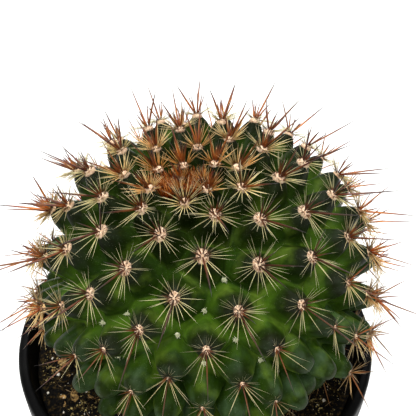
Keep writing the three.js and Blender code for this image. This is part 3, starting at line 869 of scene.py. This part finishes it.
# %% The tree that sets needles
def needle_tree(name, material, sides, rings):
    tree, add, sizes = new_tree(name, {"Belly": 1.5, "Bend": 0.9, "Seed": 11})
    cone = add("MeshCone", {
        "Vertices": sides, "Side Segments": rings, "Radius Bottom": 0.5, "Depth": 1.0})
    place = add("InputPosition")
    up = add("SeparateXYZ", (place,)).outputs["Z"]
    kept = add("StoreNamedAttribute", {"Geometry": cone, "Name": "along", "Value": up})
    belly = add("Math", (up, sizes["Belly"], 1.0), operation="MULTIPLY_ADD")
    across = add("VectorMath", {0: place, "Scale": belly}, operation="SCALE")
    flat = add("SeparateXYZ", (across,))
    square = add("Math", (up, 2.0), operation="POWER")
    bent = add("Math", (square, sizes["Bend"], flat.outputs["X"]), operation="MULTIPLY_ADD")
    put = add("CombineXYZ", (bent, flat.outputs["Y"], up))
    needle = add("SetPosition", {"Geometry": kept, "Position": put})
    aim, size = (add("InputNamedAttribute", {"Name": name}, data_type="FLOAT_VECTOR")
                 for name in ("aim", "size"))
    turn = add("AlignRotationToVector", {"Vector": aim}, axis="Z")
    roll = add("RandomValue", {3: math.tau, "Seed": sizes["Seed"]}, data_type="FLOAT")
    spin = add("AxisAngleToRotation", {"Axis": (0, 0, 1), "Angle": roll})
    rolled = add("RotateRotation", (turn, spin), rotation_space="LOCAL")
    set_up = add("InstanceOnPoints", {
        "Points": sizes["Geometry"], "Instance": needle, "Rotation": rolled, "Scale": size})
    end_tree(add, set_up, material)
    return tree


def needles(name, rows, tree, instead_of="plant", **sizes):
    """A piece of needles from rows of root, aim, length, girth, tone, age and warmth."""
    rows = np.array(rows)
    size = np.stack([rows[:, 7], rows[:, 7], rows[:, 6]], -1) * MM
    points = mesh_from(name + "_feet", rows[:, :3], aim=rows[:, 3:6], size=size, tone=rows[:, 8],
                       age=rows[:, 9], warmth=rows[:, 10])
    piece = grow(points, tree, name, **sizes)
    piece.data.shade_smooth()
    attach(piece, "root")
    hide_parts(instead_of)


# %% [markdown]
# ## The spines' finish
#
# A spine is dead, hardened fibre, like fine horn: smooth, slightly waxy and see-through
# when it is thin. Light from behind makes it glow amber, and in front of the skin it looks
# dark, so a good part of its colour is transmission. Radials are ivory with a greenish cast
# and maroon feet. Centrals are maroon at the foot, brown in the middle and grey at the
# point. Near the crown they are orange, behind the crown red-brown, and on the oldest
# areoles tan. On the left and right outline a painted orange glow in the base colour stands
# in for the back lamp shining through them.

# %% Hardened spine fibre
def spine_material(name, warm_stops, grown_stops, old_colour, see_through):
    material, add, shader, place = new_material(name)
    tone, along, age, warmth = (add("Attribute", attribute_name=name).outputs["Fac"]
                                for name in ("tone", "along", "age", "warmth"))
    along = add("Math", (tone, 0.22, along), operation="MULTIPLY_ADD")
    grown, warm = (with_stops(add("ValToRGB", {"Fac": along}), stops)
                   for stops in (grown_stops, warm_stops))
    old_by = add("MapRange", {0: age, 1: 0.7, 2: 0.95})
    # Warmth mixes in the warm colours: the spines' own colour near the crown, and painted backlight
    # glow on the outline flanks.
    first = add("Mix", {0: warmth, 6: grown, 7: warm}, data_type="RGBA")
    second = add("Mix", {0: old_by, 6: first, 7: linear(old_colour)}, data_type="RGBA")
    value = add("MapRange", {0: tone, 3: 0.5, 4: 1.5})
    toned = add("HueSaturation", {"Color": second, "Value": value})
    streak = add("TexNoise", {"Vector": place, "Scale": 1 / (0.8 * MM), "Detail": 3.0})
    finish(add, shader, toned, streak, (0.3, 0.5), (0.2, 0.03), {
        "IOR": 1.54, "Specular IOR Level": 0.1, "Transmission Weight": see_through})
    return material


ivory = spine_material(
    "ivory_spine_fibre",
    [(0.0, "#7c4420"), (1.0, "#e8c084"), (0.35, "#cf8a38"), (0.65, "#dca252")],
    [(0.0, "#3e0c04"), (1.0, "#eee6bc"), (0.17, "#7c3a1a"), (0.3, "#d2c68a"), (0.6, "#e4dca6")],
    "#b98a4c", 0.45)
brown = spine_material(
    "red_brown_spine_fibre",
    [(0.0, "#42160a"), (1.0, "#382e2c"), (0.22, "#b45414"), (0.5, "#cc7a26"), (0.76, "#8c4428")],
    [(0.0, "#2e0b04"), (1.0, "#302a2a"), (0.26, "#5a1e08"), (0.48, "#703614"), (0.75, "#503024")],
    "#8a5c2c", 0.65)
rust = spine_material(
    "rust_red_new_fibre",
    [(0.0, "#3c0e02"), (1.0, "#eeb468"), (0.4, "#7e2c08"), (0.8, "#c26c22")],
    [(0.0, "#200602"), (1.0, "#8e3608"), (0.4, "#521602")], "#65401f", 0.1)
needles("radial_spines", radials, needle_tree("radial needles", ivory, 5, 4), Bend=1.8, Belly=0.7)
needles("central_spines", centrals, needle_tree("central needles", brown, 6, 6),
        Bend=1.2, Belly=2.2)

# %% [markdown]
# ## The crown's tuft
#
# In the sunken crown the newest areoles stand so close that their spines make one dense,
# short brush of rust red with lighter points. They belong to tubercles that are still too
# small to tell apart, so they are spread over the dimple by a rule: a golden-angle spiral.

# %% New spines in the crown
TUFT_SPINES, TUFT_TURN, TUFT_SUNK = 1100, 2.39996, 3.4
tuft = []
for j in range(TUFT_SPINES):
    away, turn = math.sqrt(j / TUFT_SPINES), TUFT_TURN * j
    c, s = math.cos(turn), math.sin(turn)
    direction = unit(np.array([-0.05 + 0.17 * away * c, -0.06 + 0.12 * away * s, 1.0]))
    root = in_pot(body_surface(direction, np.array(TUFT_SUNK)))
    aim = unit(crown_axis + np.array([0.5 * away * c, 0, 0]) + 0.7 * (chance.random(3) - 0.5))
    tuft.append((*root, *aim, 2.6 + 2.8 * chance.random(), 0.09 + 0.06 * chance.random(),
                 chance.random(), 0.0, chance.random() ** 2.5))
needles("crown_tuft", tuft, needle_tree("tuft needles", rust, 5, 4), Bend=1.6, Seed=23)

# %% [markdown]
# ## Loose wool
#
# Single hairs stand off the cushions and soften their edges, and small white tufts of wool
# sit in some of the furrows, where two tubercles meet a third. Hairs are three-sided
# needles of ten triangles. Those on the cushions are scattered over the cushions' own
# faces, so they follow them exactly.

# %% Hairs on the cushions
tree, add, sizes = new_tree("cushion hairs", {
    "Hairs per square metre": 2.6e6, "Hair length": 0.85 * MM, "Hair width": 0.07 * MM,
    "Ruffle": 1.1, "Seed": 4})
on_pads = add("DistributePointsOnFaces", {
    "Mesh": sizes["Geometry"], "Density": sizes["Hairs per square metre"], "Seed": sizes["Seed"]})
ruffle = add("RandomValue", {0: (-1, -1, -1), "Seed": sizes["Seed"]}, data_type="FLOAT_VECTOR")
ruffle = add("VectorMath", {0: ruffle, "Scale": sizes["Ruffle"]}, operation="SCALE")
aim = add("VectorMath", (on_pads.outputs["Normal"], ruffle), operation="ADD")
turn = add("AlignRotationToVector", {"Vector": aim}, axis="Z")
hair = add("MeshCone", {"Vertices": 3, "Side Segments": 2, "Radius Bottom": 0.5, "Depth": 1.0})
vary = add("RandomValue", {2: 0.5, "Seed": sizes["Seed"]}, data_type="FLOAT")
length = add("Math", (vary, sizes["Hair length"]), operation="MULTIPLY")
size = add("CombineXYZ", (sizes["Hair width"], sizes["Hair width"], length))
hairs = add("InstanceOnPoints", {
    "Points": on_pads, "Instance": hair, "Rotation": turn, "Scale": size})
end_tree(add, hairs, wool)
cushion_hairs = grow(cushions.data.copy(), tree, "cushion_hairs")
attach(cushion_hairs, "root")
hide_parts("plant")

# %% Wool in the furrows
# A furrow is known by the numbers of the three tubercles that meet there. Those on the front
# were noted one by one, and at the back chance picks three in ten.
WOOLLY_FURROWS = [
    (44, 52, 65), (49, 57, 70), (62, 70, 83), (57, 65, 78), (31, 39, 52), (65, 73, 86),
    (109, 130, 143), (70, 83, 104), (65, 78, 99), (73, 86, 107), (86, 107, 120), (115, 136, 149)]
NO_TUBERCLE, STRANDS = 999, 36
corner_numbers = [tuple(int(numbers[c]) if c < len(numbers) else NO_TUBERCLE for c in cell)
                  for cell in corner_cells]
shown = [corner_numbers.index(furrow) for furrow in WOOLLY_FURROWS if furrow in corner_numbers]
far_side = [k for k, (a, b, c) in enumerate(corner_numbers)
            if 28 <= a < 120 and (b - a, c - a) in ((8, 21), (13, 34))
            and corners[k][1] > -0.1 and chance.random() < 0.3]
strands, tufts, outs = [], [], []
for k in shown + far_side:
    foot = in_pot(body_surface(corners[k], furrow_depth(corners[k])))
    out = unit(foot - in_pot(body_surface(corners[k], furrow_depth(corners[k]) + 3)))
    tufts.append(foot + 0.25 * out)
    outs.append(out)
    for j in range(STRANDS):
        aim = unit(out + 2.2 * (chance.random(3) - 0.5))
        root = foot + 0.6 * (chance.random(3) - 0.5) + 0.3 * out
        strands.append((*root, *aim, 0.5 + 0.6 * chance.random(), 0.11, chance.random(), 0.2, 0.0))
needles("furrow_wool", strands, needle_tree("wool strands", axil_wool, 3, 3), Bend=2.5)
lying = unit(np.cross(outs, (0.3, 0.1, 1.0)))
blobs = mesh_from("tufts", tufts, axis=outs, down=lying, age=np.full(len(tufts), 0.2),
                  size=np.array([0.6, 0.42, 0.25]) * MM
                  * (0.6 + 0.6 * chance.random((len(tufts), 1))))
furrow_tufts = grow(blobs, cushion_tree("furrow cushions", axil_wool), "furrow_tufts",
                    Lump_size=0.5 * MM, Lump_depth=0.9 * MM)
furrow_tufts.data.shade_smooth()
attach(furrow_tufts, "root")
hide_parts("plant")
print("tufts of wool:", len(tufts))

# %% [markdown]
# ## The potting mix
#
# Potting mix is dark peat with crushed bark, white perlite, larger chips of bark and a few
# root fibres. The bed is a turned solid with a plain hole for the plant's neck and a rough
# top. What lies on it is scattered by Geometry Nodes: one rule for every kind of crumb, with
# its own size, number and finish. The crushed bark lies in drifts, where watering has left
# it, so it is kept only where a broad noise is high.

# %% Damp peat
def crumb_material(name, dark, light, grit_mm, roughness, depth_mm, dark_share=0.35):
    """A rough, patchy finish. The patches are grit_mm wide, and dark below dark_share."""
    material, add, shader, place = new_material(name)
    patches = add("TexNoise", {"Vector": place, "Scale": 1 / (grit_mm * MM), "Detail": 8.0})
    tone = add("MapRange", {0: patches, 1: dark_share, 2: 0.68})
    colour = add("Mix", {0: tone, 6: linear(dark), 7: linear(light)}, data_type="RGBA")
    roughness = (roughness - 0.12, roughness + 0.05)
    finish(add, shader, colour, patches, roughness, (0.7, depth_mm), {"Specular IOR Level": 0.12})
    return material


peat = crumb_material("damp_peat", "#020100", "#382b12", 0.9, 0.9, 0.4, 0.51)

# %% The bed
SOIL_LEVEL, SOIL_FOOT, SOIL_GAP, HOLE_RADIUS, HOLE_FLOOR = 85, 1.9, 0.4, 25.45, 71
TOP_OF_BED, CLEAR_OF_NECK = 84, 27.5
soil_outline = [(0, SOIL_FOOT), (inner_wall(SOIL_FOOT) - 1.5, SOIL_FOOT),
                (inner_wall(SOIL_FOOT + 2) - SOIL_GAP, SOIL_FOOT + 2)]
soil_edge = inner_wall(SOIL_LEVEL) - SOIL_GAP
soil_outline += [(r, SOIL_LEVEL) for r in np.linspace(soil_edge, HOLE_RADIUS, 34)]
soil_outline += [(HOLE_RADIUS, HOLE_FLOOR), (0, HOLE_FLOOR)]
bed_blank = turned("bed_blank", soil_outline, 200)
tree, add, sizes = new_tree("rough bed", {
    "Heap": 0.8 * MM, "Heap width": 14 * MM, "Crumb": 1.1 * MM, "Crumb width": 1.6 * MM})
height = add("SeparateXYZ", (add("InputPosition"),)).outputs["Z"]
on_top = add("Compare", (height, TOP_OF_BED * MM), operation="GREATER_THAN")
heaps, crumbs = (
    waves(add, add("Math", (1.0, sizes[width]), operation="DIVIDE"), sizes[depth])
    for width, depth in (("Heap width", "Heap"), ("Crumb width", "Crumb")))
up = add("CombineXYZ", {"Z": add("Math", (heaps, crumbs), operation="ADD")})
rough = add("SetPosition", {"Geometry": sizes["Geometry"], "Selection": on_top, "Offset": up})
end_tree(add, rough, peat)
bed = grow(bed_blank, tree, "soil_bed")
bed.data.shade_smooth()
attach(bed, "root")
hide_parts("soil")

# %% Crumbs, perlite and bark
tree, add, sizes = new_tree("scattered crumbs", {
    "Crumbs per square metre": 1.0e5, "Smallest": 0.3 * MM, "Largest": 1.0 * MM, "Flatness": 0.8,
    "Length": 1.0, "Knobs": 0.4, "Fineness": 1, "Edge": 46.4 * MM, "Heap size": 9 * MM,
    "Heap level": 0.0, "Seed": 1})
place = add("InputPosition")
part = add("SeparateXYZ", (place,))
flat = add("CombineXYZ", (part.outputs["X"], part.outputs["Y"]))
away = add("VectorMath", (flat,), operation="LENGTH")
fineness = add("Math", (1.0, sizes["Heap size"]), operation="DIVIDE")
heap = add("TexNoise", {"Scale": fineness, "Detail": 2.0})
there = add("Compare", (part.outputs["Z"], TOP_OF_BED * MM), operation="GREATER_THAN")
for value, limit, test in (
        (away, sizes["Edge"], "LESS_THAN"), (away, CLEAR_OF_NECK * MM, "GREATER_THAN"),
        (heap, sizes["Heap level"], "GREATER_THAN")):
    also = add("Compare", (value, limit), operation=test)
    there = add("BooleanMath", (there, also), operation="AND")
strewn = add("DistributePointsOnFaces", {
    "Mesh": sizes["Geometry"], "Selection": there, "Density": sizes["Crumbs per square metre"],
    "Seed": sizes["Seed"]})
lump = add("MeshIcoSphere", {"Radius": 0.5, "Subdivisions": sizes["Fineness"]})
across = add("CombineXYZ", (sizes["Length"], 1.0, sizes["Flatness"]))
stretched = add("Transform", {"Geometry": lump, "Scale": across})
vary = add("RandomValue", {"Seed": sizes["Seed"]}, data_type="FLOAT")
vary = add("Math", (vary, 2.2), operation="POWER")
size = add("MapRange", {0: vary, 3: sizes["Smallest"], 4: sizes["Largest"]})
turn = add("RandomValue", {0: (-0.7, -0.7, 0), 1: (0.7, 0.7, math.tau), "Seed": sizes["Seed"]},
           data_type="FLOAT_VECTOR")
laid = add("InstanceOnPoints", {
    "Points": strewn, "Instance": stretched, "Rotation": turn, "Scale": size})
made = add("RealizeInstances", {"Geometry": laid})
knob = add("TexNoise", {"Scale": 1 / (0.8 * MM), "Detail": 1.0})
knob = add("VectorMath", (knob.outputs[1], (0.5, 0.5, 0.5)), operation="SUBTRACT")
reach = add("Math", (sizes["Knobs"], 1 * MM), operation="MULTIPLY")
knob = add("VectorMath", {0: knob, "Scale": reach}, operation="SCALE")
knobbly = add("SetPosition", {"Geometry": made, "Offset": knob})
finish_slot = add("SetMaterial", {"Geometry": knobbly})
add("GroupOutput", {0: finish_slot})


def strew(name, material, smooth, **sizes):
    finish_slot.inputs["Material"].default_value = material
    piece = grow(bed.data.copy(), tree, name, **sizes)
    if smooth:
        piece.data.shade_smooth()
    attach(piece, "root")
    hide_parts("soil")


strew("peat_crumbs", peat, False, Crumbs_per_square_metre=9.0e5, Smallest=0.35 * MM,
      Largest=1.9 * MM, Seed=1)
strew("brown_grit", crumb_material("crushed_bark", "#1c1407", "#b6a266", 0.5, 0.85, 0.2), False,
      Crumbs_per_square_metre=1.5e6, Smallest=0.2 * MM, Largest=0.85 * MM, Heap_level=0.46,
      Knobs=0.7, Seed=2)
strew("perlite", crumb_material("expanded_perlite", "#a89c86", "#f2ecdd", 0.6, 0.9, 0.2), True,
      Crumbs_per_square_metre=5.0e4, Smallest=0.3 * MM, Largest=1.4 * MM, Knobs=0.5, Seed=3)
strew("bark_chips", crumb_material("pine_bark_chips", "#24160a", "#b8935a", 0.7, 0.8, 0.3), False,
      Crumbs_per_square_metre=1.6e4, Smallest=1.2 * MM, Largest=4.2 * MM, Flatness=0.3, Length=1.6,
      Knobs=0.9, Fineness=2, Edge=45.0 * MM, Seed=5)

# %% Root fibres
FIBRES, FIBRE_RING, FIBRE_RING_WIDTH, FIBRE_EDGE, FIBRE_LEVEL = 120, 29, 15.5, 46.3, 85.5
fibres = []
for j in range(FIBRES):
    turn, away = chance.random() * math.tau, FIBRE_RING + FIBRE_RING_WIDTH * chance.random()
    level = FIBRE_LEVEL + 0.5 * chance.random()
    root = np.array([away * math.cos(turn), away * math.sin(turn), level])
    aim = unit(np.array([*(chance.random(2) - 0.5), 0.12 * (chance.random() - 0.2)]))
    length = 3 + 4.5 * chance.random()
    if np.hypot(*(root + aim * length)[:2]) < FIBRE_EDGE:
        fibres.append((*root, *aim, length, 0.2, chance.random(), 0.5, 0.0))
fibre = crumb_material("dry_root_fibre", "#4b3826", "#a58c68", 1.5, 0.8, 0.05)
needles("root_fibres", fibres, needle_tree("fibre strands", fibre, 4, 4), "soil",
        Bend=5.0, Belly=1.0)

# %% [markdown]
# ## The last look
#
# The box of the dressed plant is printed here, as the solids' box was at the start.
# The dressed plant has to keep the size of its solids.

# %% Sizes, and the end
low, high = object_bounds()
print("visual box in mm:", [round(v / MM, 1) for v in (*low, *high)])
